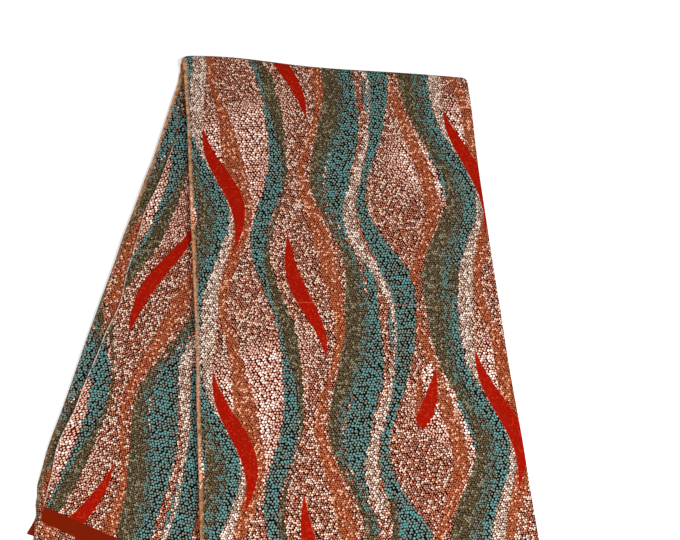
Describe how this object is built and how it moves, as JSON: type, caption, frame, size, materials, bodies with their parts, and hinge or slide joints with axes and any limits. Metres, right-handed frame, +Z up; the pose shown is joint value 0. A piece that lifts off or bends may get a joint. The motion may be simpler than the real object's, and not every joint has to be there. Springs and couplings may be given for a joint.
{
  "type": "wax print fabric",
  "caption": "Printed cotton dress fabric, folded back and forth into a strip that is laid double at a slant, flat on a surface.",
  "frame": {"origin": "under the middle of the folded cloth's bounding box, on the surface that it lies on", "axes": "+Z up; +X along the slanting fold, from the side where the lower leg shows to the side where the upper leg reaches past it; +Y towards the slanting fold, so both legs run towards -Y"},
  "size_m": [0.5414, 0.6652, 0.0181],
  "materials": {
    "printed_cotton": "smooth plain-weave cotton printed on both faces, red-brown ground with teal, olive, red and cream bands of dots, slight sheen"
  },
  "bodies": {
    "root": {"folded_cloth": "printed_cotton"}
  },
  "joints": []
}
